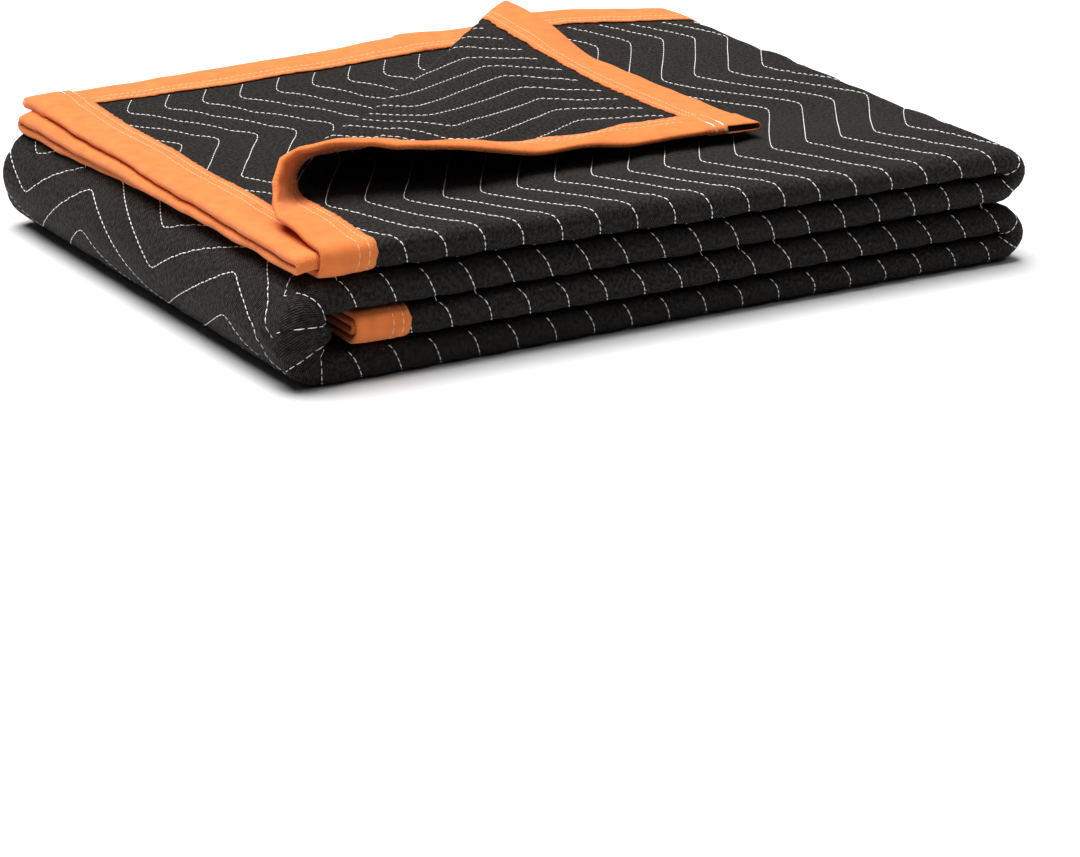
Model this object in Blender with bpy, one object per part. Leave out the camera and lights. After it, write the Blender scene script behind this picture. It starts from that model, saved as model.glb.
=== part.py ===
"""Quilted moving pad folded into a block of sixteen layers, with its top left back corner turned over.

Metres, +Z up. The block stands on Z = 0 around the origin, and its front looks along -Y. The sheet is cut
flat, U across the block and V from its back edge, and sheet_point then folds it: along ACROSS into a strip of
four layers, and along ALONG into four lobes of that strip. The orange binding is folded the same way.
"""

import math

import bmesh
import bpy
from mathutils import Vector

# ---- the folded block -------------------------------------------------------------------------------
BLOCK_WIDTH = 0.535
BLOCK_DEPTH = 0.4105
LAYERS_IN_STRIP = 4
LOBES = 4
LAYER_PITCH = 0.0052
LAYER_GAP = 0.0009
CLOTH = LAYER_PITCH - LAYER_GAP
STRIP = LAYERS_IN_STRIP * LAYER_PITCH
BLOCK_HEIGHT = LOBES * STRIP
CENTRE = (BLOCK_WIDTH / 2, BLOCK_DEPTH / 2 - 0.0006)

# ---- the orange binding -----------------------------------------------------------------------------
BAND_WIDTH = 0.034
BAND_GAP = 0.0003
BAND_THICKNESS = 0.0008
BAND_REACH = BAND_GAP + BAND_THICKNESS
BAND_RISE = 0.012

# ---- creases across the strip, front and back -------------------------------------------------------
OUTER_CREASE = 1.5 * LAYER_PITCH
TIGHT_CREASE = 0.5 * LAYER_PITCH
FRONT_LINE = OUTER_CREASE + CLOTH / 2
BACK_LINE = BLOCK_DEPTH - 0.010
FREE_BACK = BLOCK_DEPTH - BAND_REACH

# ---- turns along the strip, left and right ----------------------------------------------------------
SMALL_TURN = STRIP / 2
LARGE_TURN = STRIP
RIGHT_LINE = BLOCK_WIDTH - SMALL_TURN - OUTER_CREASE - CLOTH / 2
LEFT_LINE = LARGE_TURN + OUTER_CREASE + CLOTH / 2
TOP_END = 0.027
TUCKED_END = LEFT_LINE + 0.020

# ---- zigzag quilting --------------------------------------------------------------------------------
LINE_PITCH = 0.0247
HALF_WAVE = 0.0845
SWING = 0.050
FIRST_TURN = -0.0093
GROOVE = 0.0012
ZIGZAG_FADE = 0.060

# ---- how the block has settled: height of each corner, the sagged middle and the fuller back --------
HEIGHT_FRONT_LEFT = 0.0885
HEIGHT_FRONT_RIGHT = 0.0760
HEIGHT_BACK_LEFT = 0.0888
HEIGHT_BACK_RIGHT = 0.0796
MIDDLE_SAG = 0.0055
BACK_CROWN = 0.0128
CROWN_SIDE = 1.8
LOBE_WANDER = 0.002

# ---- ends of the layers at the top left, by place along V: (share of V, how far the end moves in X) --
END_SHIFTS = (
    (0.00, -0.004),
    (0.25, -0.010),
    (0.50, -0.012),
    (0.75, 0.003),
    (1.00, 0.000),
)
END_SHIFT_FADE = 0.110
END_DROOP = 0.008
LOW_LAYER_DROOP = 1.7
HIGH_LAYER_DROOP = 0.7

# ---- the left turn's front corner, squeezed shut from its inner side ---------------------------------
PINCH = 0.018
PINCH_REACH = 0.075

# ---- the turned back corner -------------------------------------------------------------------------
TURN_POINT = (0.202, 0.2258)
TURN_DIRECTION = (0.7254, 0.6883)
ROLL_AT_SIDE = 0.0140
ROLL_AT_BACK = 0.0066
TURN_LENGTH = 0.510
ROLL_STEPS = 6
FLAP_REST = 0.0150
SETTLE_START = 0.034
SETTLE_AT_SIDE = 0.146
SETTLE_AT_BACK = 0.034
FLAP_PULL = 0.051
PULL_LENGTH = 0.228
FLAP_LIFT = 0.0045
LIFT_REACH = 0.080
LIFT_FRONT = 0.030

# ---- the turned corner's edges: the tape curls up near the roll, and droops further along ------------
FAR_DROOP = 0.0064
NEAR_DROOP = 0.0058
DROOP_REACH = 0.050
DROOP_START = 0.100
EDGE_CURL = 0.0047
CURL_END = 0.060

# ---- mesh density -----------------------------------------------------------------------------------
CELL_LINES = 2.5
FINE_CUTS = 4
SNAP = 0.0015
CROWDED = 0.006
INWARD = 0.0001


def run(kind, size, hand=0):
    """One stretch of a folded path: a straight of a length, or a half turn of a radius to one hand."""
    length = size if kind == "straight" else math.pi * size
    return {"kind": kind, "size": size, "hand": hand, "length": length}


ACROSS_START = (FREE_BACK, 0.5 * LAYER_PITCH, math.pi)
ACROSS = (
    run("straight", FREE_BACK - FRONT_LINE),
    run("turn", TIGHT_CREASE, 1),
    run("straight", BACK_LINE - FRONT_LINE),
    run("turn", TIGHT_CREASE, -1),
    run("straight", BACK_LINE - FRONT_LINE),
    run("turn", OUTER_CREASE, -1),
    run("straight", FREE_BACK - FRONT_LINE),
)

ALONG_START = (TOP_END, 3.5 * STRIP, 0.0)
ALONG = (
    run("straight", RIGHT_LINE - TOP_END),
    run("turn", SMALL_TURN, -1),
    run("straight", RIGHT_LINE - LEFT_LINE),
    run("turn", LARGE_TURN, 1),
    run("straight", RIGHT_LINE - LEFT_LINE),
    run("turn", SMALL_TURN, 1),
    run("straight", RIGHT_LINE - TUCKED_END),
)

SHEET_U = sum(stretch["length"] for stretch in ALONG)
SHEET_V = sum(stretch["length"] for stretch in ACROSS)
TOP_LAYER_START = SHEET_V - ACROSS[-1]["length"]
OUTER_CREASE_START = TOP_LAYER_START - ACROSS[-2]["length"]
LEFT_FOLD_START = sum(stretch["length"] for stretch in ALONG[:3])
LOBE_4_START = LEFT_FOLD_START + ALONG[3]["length"]


def follow(start, stretches, distance):
    """Point and heading after a distance along a path of straights and half turns."""
    across, up, heading = start
    for number, stretch in enumerate(stretches):
        last = number == len(stretches) - 1
        part = distance if last or distance < stretch["length"] else stretch["length"]
        if stretch["kind"] == "straight":
            across += part * math.cos(heading)
            up += part * math.sin(heading)
        else:
            radius, hand = stretch["size"], stretch["hand"]
            centre_across = across - hand * radius * math.sin(heading)
            centre_up = up + hand * radius * math.cos(heading)
            heading += hand * part / radius
            across = centre_across + hand * radius * math.sin(heading)
            up = centre_up - hand * radius * math.cos(heading)
        distance -= part
        if distance <= 0:
            break
    return across, up, heading


def smooth(value):
    value = min(max(value, 0.0), 1.0)
    return value * value * (3 - 2 * value)


def from_table(table, place):
    for (place_a, value_a), (place_b, value_b) in zip(table, table[1:]):
        if place <= place_b:
            return value_a + (value_b - value_a) * smooth((place - place_a) / (place_b - place_a))
    return table[-1][1]


def flap_place(u, y):
    """Distance along the line of the turned corner from the block's left side, and distance past it."""
    from_u = u + TOP_END - TURN_POINT[0]
    from_y = y - TURN_POINT[1]
    along = from_u * TURN_DIRECTION[0] + from_y * TURN_DIRECTION[1]
    past = -from_u * TURN_DIRECTION[1] + from_y * TURN_DIRECTION[0]
    return along + TURN_LENGTH / 2, past


def turn_corner(u, y, offset):
    """Rolls the top layer's corner over; gives the new u and y, and the height above the layer."""
    along, past = flap_place(u, y)
    share = min(max(along / TURN_LENGTH, 0.0), 1.0)
    lift = FLAP_LIFT * (1 - share) * smooth(1 + past / LIFT_REACH) * smooth((y - FRONT_LINE) / LIFT_FRONT)
    if past <= 0:
        return u, y, lift + offset
    radius = ROLL_AT_SIDE + (ROLL_AT_BACK - ROLL_AT_SIDE) * share
    flat = past - math.pi * radius
    pull = 0.0
    if flat < 0:
        angle = past / radius
        reach = (radius - offset) * math.sin(angle)
        height = radius - (radius - offset) * math.cos(angle)
    else:
        settle_length = SETTLE_AT_SIDE + (SETTLE_AT_BACK - SETTLE_AT_SIDE) * share
        settled = smooth((flat - SETTLE_START) / settle_length)
        lift *= 1 - settled
        reach = -flat
        pull = FLAP_PULL * smooth(flat / PULL_LENGTH)
        height = FLAP_REST + (2 * radius - FLAP_REST) * (1 - settled) - offset
        far = FAR_DROOP * (1 - smooth((FREE_BACK - y) / DROOP_REACH))
        near = NEAR_DROOP * (1 - smooth(u / DROOP_REACH)) * smooth((flat - DROOP_START) / DROOP_REACH)
        height -= settled * max(far, near)
    curl = (1 - smooth(u / DROOP_REACH)) * (1 - smooth((flat - CURL_END) / CURL_END))
    height += EDGE_CURL * curl * smooth(past / (math.pi * radius))
    moved = reach - past
    u += pull * TURN_DIRECTION[0] - moved * TURN_DIRECTION[1]
    y += pull * TURN_DIRECTION[1] + moved * TURN_DIRECTION[0]
    return u, y, lift + height


def settle(x, y, z):
    """Lowers and spreads the ideal block as the real one has settled, the floor face staying flat."""
    a = x / BLOCK_WIDTH
    b = y / BLOCK_DEPTH
    front = HEIGHT_FRONT_LEFT + (HEIGHT_FRONT_RIGHT - HEIGHT_FRONT_LEFT) * a
    back = HEIGHT_BACK_LEFT + (HEIGHT_BACK_RIGHT - HEIGHT_BACK_LEFT) * a
    height = front + (back - front) * b
    inside = min(max(a, 0), 1)
    height += BACK_CROWN * math.sin(math.pi * inside ** CROWN_SIDE) * max(b, 0) ** 2
    height -= MIDDLE_SAG * math.sin(math.pi * inside) * math.sin(math.pi * min(max(b, 0), 1))
    wave = math.sin(2.3 * z / STRIP + 3.1 * a)
    y += LOBE_WANDER * wave * (1 - b)
    return x - CENTRE[0], y - CENTRE[1], (z - LAYER_GAP / 2) * height / BLOCK_HEIGHT


def sheet_point(u, v, offset):
    """Folded place of a point of the flat sheet, offset towards the face that shows on top."""
    y, strip_up, heading = follow(ACROSS_START, ACROSS, v)
    y -= offset * math.sin(heading)
    if v > TOP_LAYER_START:
        u, y, height = turn_corner(u, y, offset)
        strip_up += height
    else:
        strip_up += offset * math.cos(heading)
    x, z, heading = follow(ALONG_START, ALONG, u)
    x -= strip_up * math.sin(heading)
    z += strip_up * math.cos(heading)
    if u < END_SHIFT_FADE and z > BLOCK_HEIGHT - 2 * STRIP:
        fade = smooth(1 - u / END_SHIFT_FADE)
        x += fade * from_table(END_SHIFTS, v / SHEET_V)
        over = max(LEFT_LINE - x, 0.0)
        depth = min(max(0.5 - strip_up / STRIP, 0.0), 1.0)
        droop = HIGH_LAYER_DROOP + (LOW_LAYER_DROOP - HIGH_LAYER_DROOP) * depth
        z -= END_DROOP * droop * (over / LEFT_LINE) ** 2
    if LEFT_FOLD_START < u < LOBE_4_START:
        round_turn = math.sin((u - LEFT_FOLD_START) / LARGE_TURN) ** 2
        inner = min(max(0.5 + strip_up / STRIP, 0.0), 1.0)
        x += PINCH * round_turn * inner * smooth(1 - y / PINCH_REACH)
    return settle(x, y, z)


def zigzag(v):
    """Sideways swing of the quilting lines at a place along V, turning at every half wave."""
    waves = (v - TOP_LAYER_START + FRONT_LINE - FIRST_TURN) / HALF_WAVE
    share = waves % 2
    return SWING * (abs(share - 1) - 0.5)


def edge_distance(u, v):
    return min(u, SHEET_U - u, v, SHEET_V - v)


def half_cloth(u, v, side):
    """Half the cloth's thickness: thin under the binding, and sunk along the quilting lines."""
    rise = smooth((edge_distance(u, v) - BAND_WIDTH - SNAP) / BAND_RISE)
    half = CLOTH / 2 - BAND_REACH * (1 - rise)
    if side < 0 or rise < 1 or not shows_quilting(u, v):
        return half
    lines = (u - zigzag(v) * quilting_share(u, v)) / LINE_PITCH
    return half - GROOVE * (1 - 2 * abs(lines - round(lines)))


def quilting_share(u, v):
    """How far the cut of the sheet follows the zigzag: wholly in the middle of the top layer."""
    room_u = min(u - BAND_WIDTH, ALONG[0]["length"] - u)
    room_v = min(v - OUTER_CREASE_START, SHEET_V - BAND_WIDTH - v)
    return smooth(room_u / ZIGZAG_FADE) * smooth(room_v / ZIGZAG_FADE)


# ---- the flat sheet ---------------------------------------------------------------------------------
def stations(stretches, turn_steps, band_steps, inner):
    """Places along a path: the bounds of its stretches, steps round each turn, and the inner places."""
    total = sum(stretch["length"] for stretch in stretches)
    first_steps, last_steps = band_steps
    own = [BAND_WIDTH * step / first_steps for step in range(first_steps + 1)]
    own += [total - BAND_WIDTH * step / last_steps for step in range(last_steps + 1)]
    places = set()
    begin = 0.0
    for number, stretch in enumerate(stretches):
        end = begin + stretch["length"]
        if stretch["kind"] == "turn":
            steps = turn_steps[number]
            places.update(begin + stretch["length"] * step / steps for step in range(steps + 1))
        else:
            places.update(place for place in inner(begin, end) if begin + CROWDED < place < end - CROWDED)
        begin = end
    clear = [place for place in places if min(abs(place - line) for line in own) > CROWDED]
    return sorted(clear + own)


def columns():
    cell = CELL_LINES * LINE_PITCH
    return stations(ALONG, {1: 4, 3: 9, 5: 4}, (4, 2), lambda a, b: multiples(a, b, cell))


def rows():
    return stations(ACROSS, {1: 3, 3: 3, 5: 5}, (2, 2), wave_turns)


def multiples(begin, end, step):
    first = math.ceil(begin / step)
    last = math.floor(end / step)
    return [number * step for number in range(first, last + 1)]


def wave_turns(begin, end):
    """Rows where the zigzag of the top layer turns, at the same depth in every layer."""
    begin_y = follow(ACROSS_START, ACROSS, begin + SNAP)[0]
    end_y = follow(ACROSS_START, ACROSS, end - SNAP)[0]
    places = []
    count = int(BLOCK_DEPTH / HALF_WAVE)
    for number in range(1, count + 1):
        turn_y = FIRST_TURN + number * HALF_WAVE
        share = (turn_y - begin_y) / (end_y - begin_y)
        places.append(begin + share * (end - begin))
    return places


def flat_sheet():
    """The sheet as cut: a grid, finer where quilting shows, and cut along the lines of the turned corner."""
    across, down = columns(), rows()
    bm = bmesh.new()
    bmesh.ops.create_grid(bm, x_segments=len(across) - 1, y_segments=len(down) - 1, size=0.5)
    for vert in bm.verts:
        column = round((vert.co.x + 0.5) * (len(across) - 1))
        row = round((vert.co.y + 0.5) * (len(down) - 1))
        vert.co = (across[column], down[row], 0.0)
    add_quilting_columns(bm)
    for vert in bm.verts:
        vert.co.x += zigzag(vert.co.y) * quilting_share(vert.co.x, vert.co.y)
    cut_turned_corner(bm)
    mirrored = [face for face in bm.faces if lies_mirrored(face.calc_center_median())]
    bmesh.ops.triangulate(bm, faces=mirrored, quad_method="ALTERNATE", ngon_method="BEAUTY")
    bmesh.ops.triangulate(bm, faces=bm.faces[:], quad_method="FIXED", ngon_method="BEAUTY")
    return bm


def lies_mirrored(point):
    """Whether the folding turns a place of the sheet into its mirror image, so that its cells split alike."""
    folds = 0
    for stretches, place in ((ALONG, point.x), (ACROSS, point.y)):
        end = 0.0
        for stretch in stretches:
            end += stretch["length"]
            if stretch["kind"] == "turn" and place > end:
                folds += 1
    return folds % 2 == 1


def shows_quilting(u, v):
    """The front crease of every lobe, and the top layer of the top lobe."""
    if edge_distance(u, v) < BAND_WIDTH or v < OUTER_CREASE_START:
        return False
    begin = 0.0
    for number, stretch in enumerate(ALONG):
        end = begin + stretch["length"]
        if begin + SNAP < u < end - SNAP and stretch["kind"] == "straight":
            return number == 0 or v < TOP_LAYER_START
        begin = end
    return False


def add_quilting_columns(bm):
    cell = CELL_LINES * LINE_PITCH
    wide = []
    for edge in bm.edges:
        a, b = edge.verts
        middle = (a.co + b.co) / 2
        level = abs(a.co.y - b.co.y) < 1e-6
        whole = abs(abs(a.co.x - b.co.x) - cell) < SNAP
        if level and whole and shows_quilting(middle.x, middle.y):
            wide.append(edge)
    bmesh.ops.subdivide_edges(bm, edges=wide, cuts=FINE_CUTS, use_grid_fill=False)


def cut_turned_corner(bm):
    """Cuts along the lines where the roll bends, so that each step of the roll is a flat facet."""
    half = Vector(TURN_DIRECTION) * TURN_LENGTH / 2
    side = Vector(TURN_POINT) - half
    back = Vector(TURN_POINT) + half
    for step in range(ROLL_STEPS + 1):
        angle = math.pi * step / ROLL_STEPS
        ends = []
        for (x, y), radius in ((side, ROLL_AT_SIDE), (back, ROLL_AT_BACK)):
            past = angle * radius
            u = x - past * TURN_DIRECTION[1] - TOP_END
            v = y + past * TURN_DIRECTION[0] + TOP_LAYER_START - FRONT_LINE
            ends.append((u, v))
        (u_a, v_a), (u_b, v_b) = ends
        corner = [face for face in bm.faces if in_corner(face.calc_center_median())]
        geom = set(corner)
        for face in corner:
            geom.update(face.edges)
            geom.update(face.verts)
        normal = (v_b - v_a, u_a - u_b, 0.0)
        bmesh.ops.bisect_plane(bm, geom=list(geom), dist=SNAP, plane_co=(u_a, v_a, 0.0), plane_no=normal)


def in_corner(point):
    return point.y > TOP_LAYER_START and point.x < TURN_LENGTH


# ---- solids -----------------------------------------------------------------------------------------
def thicken(name, faces, outer, inner, material):
    """A closed solid between an outer and an inner place of each point, walled along the open edges."""
    bm = bmesh.new()
    keys = sorted({key for face in faces for key in face})
    outer_verts = {key: bm.verts.new(outer(key)) for key in keys}
    inner_verts = {key: bm.verts.new(inner(key)) for key in keys}
    edges = {}
    for face in faces:
        bm.faces.new([outer_verts[key] for key in face])
        bm.faces.new([inner_verts[key] for key in reversed(face)])
        for a, b in zip(face, face[1:] + face[:1]):
            edges[a, b] = True
    for a, b in edges:
        if (b, a) not in edges:
            bm.faces.new([outer_verts[b], outer_verts[a], inner_verts[a], inner_verts[b]])
    bmesh.ops.triangulate(bm, faces=bm.faces[:], quad_method="FIXED")
    mesh = bpy.data.meshes.new(name)
    bm.to_mesh(mesh)
    bm.free()
    mesh.shade_smooth()
    mesh.set_sharp_from_angle(angle=math.radians(50))
    mesh.materials.append(material)
    piece = bpy.data.objects.new(name, mesh)
    bpy.context.collection.objects.link(piece)
    return piece


def quilted_body(sheet, material):
    faces = [tuple(vert.index for vert in face.verts) for face in sheet.faces]
    places = [(vert.co.x, vert.co.y) for vert in sheet.verts]

    def point(key, side):
        u, v = places[key]
        return sheet_point(u, v, side * half_cloth(u, v, side))

    return thicken("quilted_body", faces, lambda key: point(key, 1), lambda key: point(key, -1), material)


def binding(sheet, material):
    """The tape folded over the whole edge of the sheet: on one face, round the edge and on the other."""
    places = [(vert.co.x, vert.co.y) for vert in sheet.verts]
    frame = []
    for face in sheet.faces:
        middle = face.calc_center_median()
        if edge_distance(middle.x, middle.y) < BAND_WIDTH:
            frame.append(tuple(vert.index for vert in face.verts))
    rim = [edge for edge in sheet.edges if edge.is_boundary]
    faces = [tuple((key, 1) for key in face) for face in frame]
    faces += [tuple((key, -1) for key in reversed(face)) for face in frame]
    for edge in rim:
        loop = edge.link_loops[0]
        a, b = loop.vert.index, loop.link_loop_next.vert.index
        faces.append(((b, 1), (a, 1), (a, -1)))
        faces.append(((b, 1), (a, -1), (b, -1)))

    def point(key, reach):
        number, side = key
        u, v = places[number]
        offset = side * (half_cloth(u, v, side) + reach)
        edge = Vector(sheet_point(u, v, offset))
        place = edge.copy()
        step_u = INWARD if u < SNAP else -INWARD if u > SHEET_U - SNAP else 0.0
        step_v = INWARD if v < SNAP else -INWARD if v > SHEET_V - SNAP else 0.0
        for inside in ((u + step_u, v), (u, v + step_v)):
            if inside != (u, v):
                place += reach * (edge - Vector(sheet_point(*inside, offset))).normalized()
        return place

    outer = lambda key: point(key, BAND_REACH)
    inner = lambda key: point(key, BAND_GAP)
    return thicken("binding", faces, outer, inner, material)


def cloth_material(name, colour, roughness):
    material = bpy.data.materials.new(name)
    material.use_nodes = True
    shader = material.node_tree.nodes["Principled BSDF"]
    shader.inputs["Base Color"].default_value = (*colour, 1.0)
    shader.inputs["Roughness"].default_value = roughness
    shader.inputs["Metallic"].default_value = 0.0
    material.diffuse_color = (*colour, 1.0)
    return material


def main():
    for piece in list(bpy.data.objects):
        bpy.data.objects.remove(piece)
    black = cloth_material("black_twill", (0.012, 0.012, 0.013), 0.85)
    orange = cloth_material("orange_tape", (0.80, 0.26, 0.05), 0.75)
    sheet = flat_sheet()
    sheet.verts.index_update()
    sheet.verts.ensure_lookup_table()
    quilted_body(sheet, black)
    binding(sheet, orange)
    sheet.free()


main()
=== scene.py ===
"""Looks of the folded quilted moving pad: its cloth, edge tape and thread, with a floor, light and camera.

Metres, +Z up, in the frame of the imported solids. The sheet is laid out flat, U across the block and V from
its back edge. It is folded by the same rule as the solids: into a strip of four layers, then four lobes.
"""

import math

import bmesh
import bpy
from mathutils import Matrix, Vector, noise
from mathutils.bvhtree import BVHTree


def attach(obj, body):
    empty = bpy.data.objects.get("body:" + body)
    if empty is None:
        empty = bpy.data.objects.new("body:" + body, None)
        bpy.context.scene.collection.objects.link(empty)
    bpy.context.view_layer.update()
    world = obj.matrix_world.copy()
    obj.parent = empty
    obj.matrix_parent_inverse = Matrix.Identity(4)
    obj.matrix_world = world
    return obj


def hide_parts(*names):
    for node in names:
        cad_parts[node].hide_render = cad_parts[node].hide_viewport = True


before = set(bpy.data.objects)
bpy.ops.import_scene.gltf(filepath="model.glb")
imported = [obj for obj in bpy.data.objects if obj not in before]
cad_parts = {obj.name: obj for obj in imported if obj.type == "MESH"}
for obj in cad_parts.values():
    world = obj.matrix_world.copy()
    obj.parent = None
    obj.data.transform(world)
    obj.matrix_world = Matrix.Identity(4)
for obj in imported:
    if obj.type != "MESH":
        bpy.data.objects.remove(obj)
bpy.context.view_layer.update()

bl_info = {
    "name": "Folded moving pad",
    "version": (1, 0, 0),
    "blender": (4, 5, 0),
    "location": "3D View > Sidebar > Pad",
    "description": "Dresses the folded quilted moving pad with cloth, edge tape and thread",
    "category": "Object",
}

# ---- the folded block, as in the solids --------------------------------------------------------------
BLOCK_WIDTH = 0.535
BLOCK_DEPTH = 0.4105
LAYER_PITCH = 0.0052
LAYER_GAP = 0.0009
CLOTH = LAYER_PITCH - LAYER_GAP
STRIP = 4 * LAYER_PITCH
BLOCK_HEIGHT = 4 * STRIP
CENTRE = (BLOCK_WIDTH / 2, BLOCK_DEPTH / 2 - 0.0006)
BAND_WIDTH = 0.034
BAND_REACH = 0.0011
BAND_RISE = 0.012
OUTER_CREASE = 1.5 * LAYER_PITCH
TIGHT_CREASE = 0.5 * LAYER_PITCH
FRONT_LINE = OUTER_CREASE + CLOTH / 2
BACK_LINE = BLOCK_DEPTH - 0.010
FREE_BACK = BLOCK_DEPTH - BAND_REACH
SMALL_TURN = STRIP / 2
LARGE_TURN = STRIP
RIGHT_LINE = BLOCK_WIDTH - SMALL_TURN - OUTER_CREASE - CLOTH / 2
LEFT_LINE = LARGE_TURN + OUTER_CREASE + CLOTH / 2
TOP_END = 0.027
TUCKED_END = LEFT_LINE + 0.020
HEIGHT_FRONT_LEFT = 0.0885
HEIGHT_FRONT_RIGHT = 0.0760
HEIGHT_BACK_LEFT = 0.0888
HEIGHT_BACK_RIGHT = 0.0796
MIDDLE_SAG = 0.0055
BACK_CROWN = 0.0128
CROWN_SIDE = 1.8
LOBE_WANDER = 0.002
WANDER_UP = 2.3
WANDER_ALONG = 3.1
LUMP_SEED = 1795534871
LUMP_SIZE = 0.0016
LUMP_HEIGHT = 0.0017
LUMPS_A_METRE = 16
LUMPS_A_METRE_UP = 34
SMALL_LUMP_HEIGHT = 0.0005
SMALL_LUMPS_A_METRE = 45
SMALL_LUMPS_A_METRE_UP = 60

# (share of the sheet's V, shift of the layer's left end along the block)
END_SHIFTS = ((0.00, -0.004), (0.25, -0.010), (0.50, -0.012), (0.75, 0.003), (1.00, 0.000))
END_SHIFT_FADE = 0.400
END_DROOP = 0.008
LOW_LAYER_DROOP = 1.7
HIGH_LAYER_DROOP = 0.7
PINCH = 0.018
PINCH_REACH = 0.075
GATHERS = 0.0012
GATHER_REACH = 0.050
GATHER_WAVES = 11
GATHERS_A_METRE = 30
EDGE_WANDER = 0.0013
WANDER_REACH = 0.040
WANDERS_A_METRE = 40

# ---- the turned back corner --------------------------------------------------------------------------
TURN_POINT = (0.202, 0.2258)
TURN_DIRECTION = (0.7254, 0.6883)
ROLL_AT_SIDE = 0.0140
ROLL_AT_BACK = 0.0066
TURN_LENGTH = 0.510
FLAP_REST = 0.0150
SETTLE_START = 0.034
SETTLE_AT_SIDE = 0.146
SETTLE_AT_BACK = 0.034
FLAP_PULL = 0.051
PULL_LENGTH = 0.228
FLAP_LIFT = 0.0045
LIFT_REACH = 0.080
LIFT_FRONT = 0.030
FAR_DROOP = 0.0064
NEAR_DROOP = 0.0058
DROOP_REACH = 0.050
DROOP_START = 0.100
EDGE_CURL = 0.0047
CURL_END = 0.060
FACETS = 4
FACET_DEPTH = 1.1
CURL_SWELL = 0.0036

# along the turned corner's side edge from the roll on: (distance, height of the edge over the settled flap),
# and (distance, depth of the trough inside the tape)
EDGE_HEIGHTS = ((0.0, 0.0), (0.0175, 0.0033), (0.0325, 0.0022), (0.0475, -0.0011), (0.083, -0.0014),
                (0.110, -0.0011), (0.138, 0.0055), (0.160, 0.0018), (0.198, 0.0031), (0.215, 0.0024))
TROUGH_DEPTHS = ((0.0, 0.0045), (0.0175, 0.0033), (0.025, 0.0014), (0.0325, 0.0020), (0.040, 0.0040),
                 (0.055, 0.0066), (0.073, 0.0043), (0.090, 0.0053), (0.110, 0.0023), (0.130, 0.0026),
                 (0.146, 0.0007), (0.170, 0.0))

# ---- quilting and tape -------------------------------------------------------------------------------
LINE_PITCH = 0.0266
FIRST_LINE = 0.47
HALF_WAVE = 0.0845
SWING = 0.050
INNER_LINE_SHIFT = 0.006
FIRST_TURN = -0.0093
ROUNDED = 0.985
ZIGZAG_FADE = 0.060
SEAM_SHARE = 0.65
SEAM_WIDTH = 0.0028

# distances from the sheet's edge: of the two rows of stitches, and of the lines of the tape's mesh
TAPE_ROWS = (0.0225, 0.0290)
TAPE_PLACES = (0.0, 0.003, 0.009, 0.0155, 0.0205, 0.0225, 0.0245, 0.0270, 0.0290, 0.0310, 0.0340, 0.0352)
TAPE_OVERLAP = 0.0009
OVERLAP_RAMP = 0.006
TAPE_JOINT = 0.2715
JOINT_GAP = 0.0010
JOINT_FADE = 0.060
OPEN_END = 0.019
TAPE_WALL = 0.0008
TAPE_SWELL = 0.0003
NOSE_REACH = 0.006
NOSE_SWELL = 0.0006
ROW_DEPTH = 0.0005
ROW_WIDTH = 0.0013
RIPPLE = 0.0003
RIPPLE_REACH = 0.012
RIPPLES_A_METRE = 130
FRAY = 0.0018
FRAYS_A_METRE = 500

# (face, distance from the sheet's edge), round the edge from one face to the other
TACK_PLACES = ((-1, 0.010), (-1, 0.005), (-1, 0.0012), (1, 0.0012), (1, 0.005), (1, 0.010))
TACK_STAND_OFF = 0.0012
SNAP = 0.0015

# ---- stitches ----------------------------------------------------------------------------------------
# steps and longest are shares of a stitch's length; rise, dip, taper and variety are of the thread's radius
STITCH_STEPS = (0.0, 0.5, 1.0)
STITCH_RISE = 0.65
STITCH_DIP = -0.1
STITCH_TAPER = 0.75
STITCH_VARIETY = 0.30
VARIETIES_A_METRE = 90
LONGEST_STITCH = 2.4
MARK_STEP = 0.0005
RAY_START = 0.0030
RAY_LENGTH = 0.006

# ---- steps of the two meshes -------------------------------------------------------------------------
EDGE_STEP = 0.0085
END_TURN_STEP = 0.0027
LEFT_TURN_STEP = 0.0033
LEFT_TURN_MARGIN = 0.020
HIDDEN_STEP = 0.030
HIDDEN_CREASE_STEP = 0.0020
BACK_CREASE_STEP = 0.0016
UNDER_STEP = 0.0105
FRONT_CREASE_STEP = 0.0022
FRONT_CREASE_MARGIN = 0.012
TOP_STEP = 0.0048
CREASE_CUTS = 4
LINE_CELLS = 6
ROLL_MARGIN = 0.004
TAPE_STEP = 0.0021
TAPE_HIDDEN_COLUMN = 0.012
TAPE_HIDDEN_ROW = 0.005
TAPE_CREASE_STEP = 0.0016

# ---- where thread shows ------------------------------------------------------------------------------
SPAN_STEP = 0.002
FLAP_SPAN_STEP = 0.004
CREASE_MARGIN = 0.001
TOP_LINES_MARGIN = 0.004
FLAP_LINES_MARGIN = 0.010
UNDER_LINES_MARGIN = 0.008
INNER_LINES_END = 0.38
INNER_LINES_STOP = 0.08
SIDE_ROW_START = 0.008
FREE_ROW_START = 0.010
BACK_ROW_MARGIN = 0.002
BACK_ROW_END = 0.45
ROW_PAST_CREASE = 0.05
PAST_ROLL = 0.012

# ---- spots a metre in the materials ------------------------------------------------------------------
CLOTH_PATCHES = 14.0
CLOTH_SPECKLES = 480.0
CLOTH_LINT = 420.0
TAPE_PATCHES = 90.0
TAPE_GRAIN = 500.0
TAPE_CRUMPLES = 150.0
FIBRES = 1500.0
FLOOR_CLOUDS = 1.5

FLOOR_SIZE = 6.0

# ---- the photograph's camera -------------------------------------------------------------------------
CAMERA_PLACE = (-1.24690, -2.15757, 0.75940)
CAMERA_YAW = -0.53288
CAMERA_PITCH = 0.34261
LENS = 133.33

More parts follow.
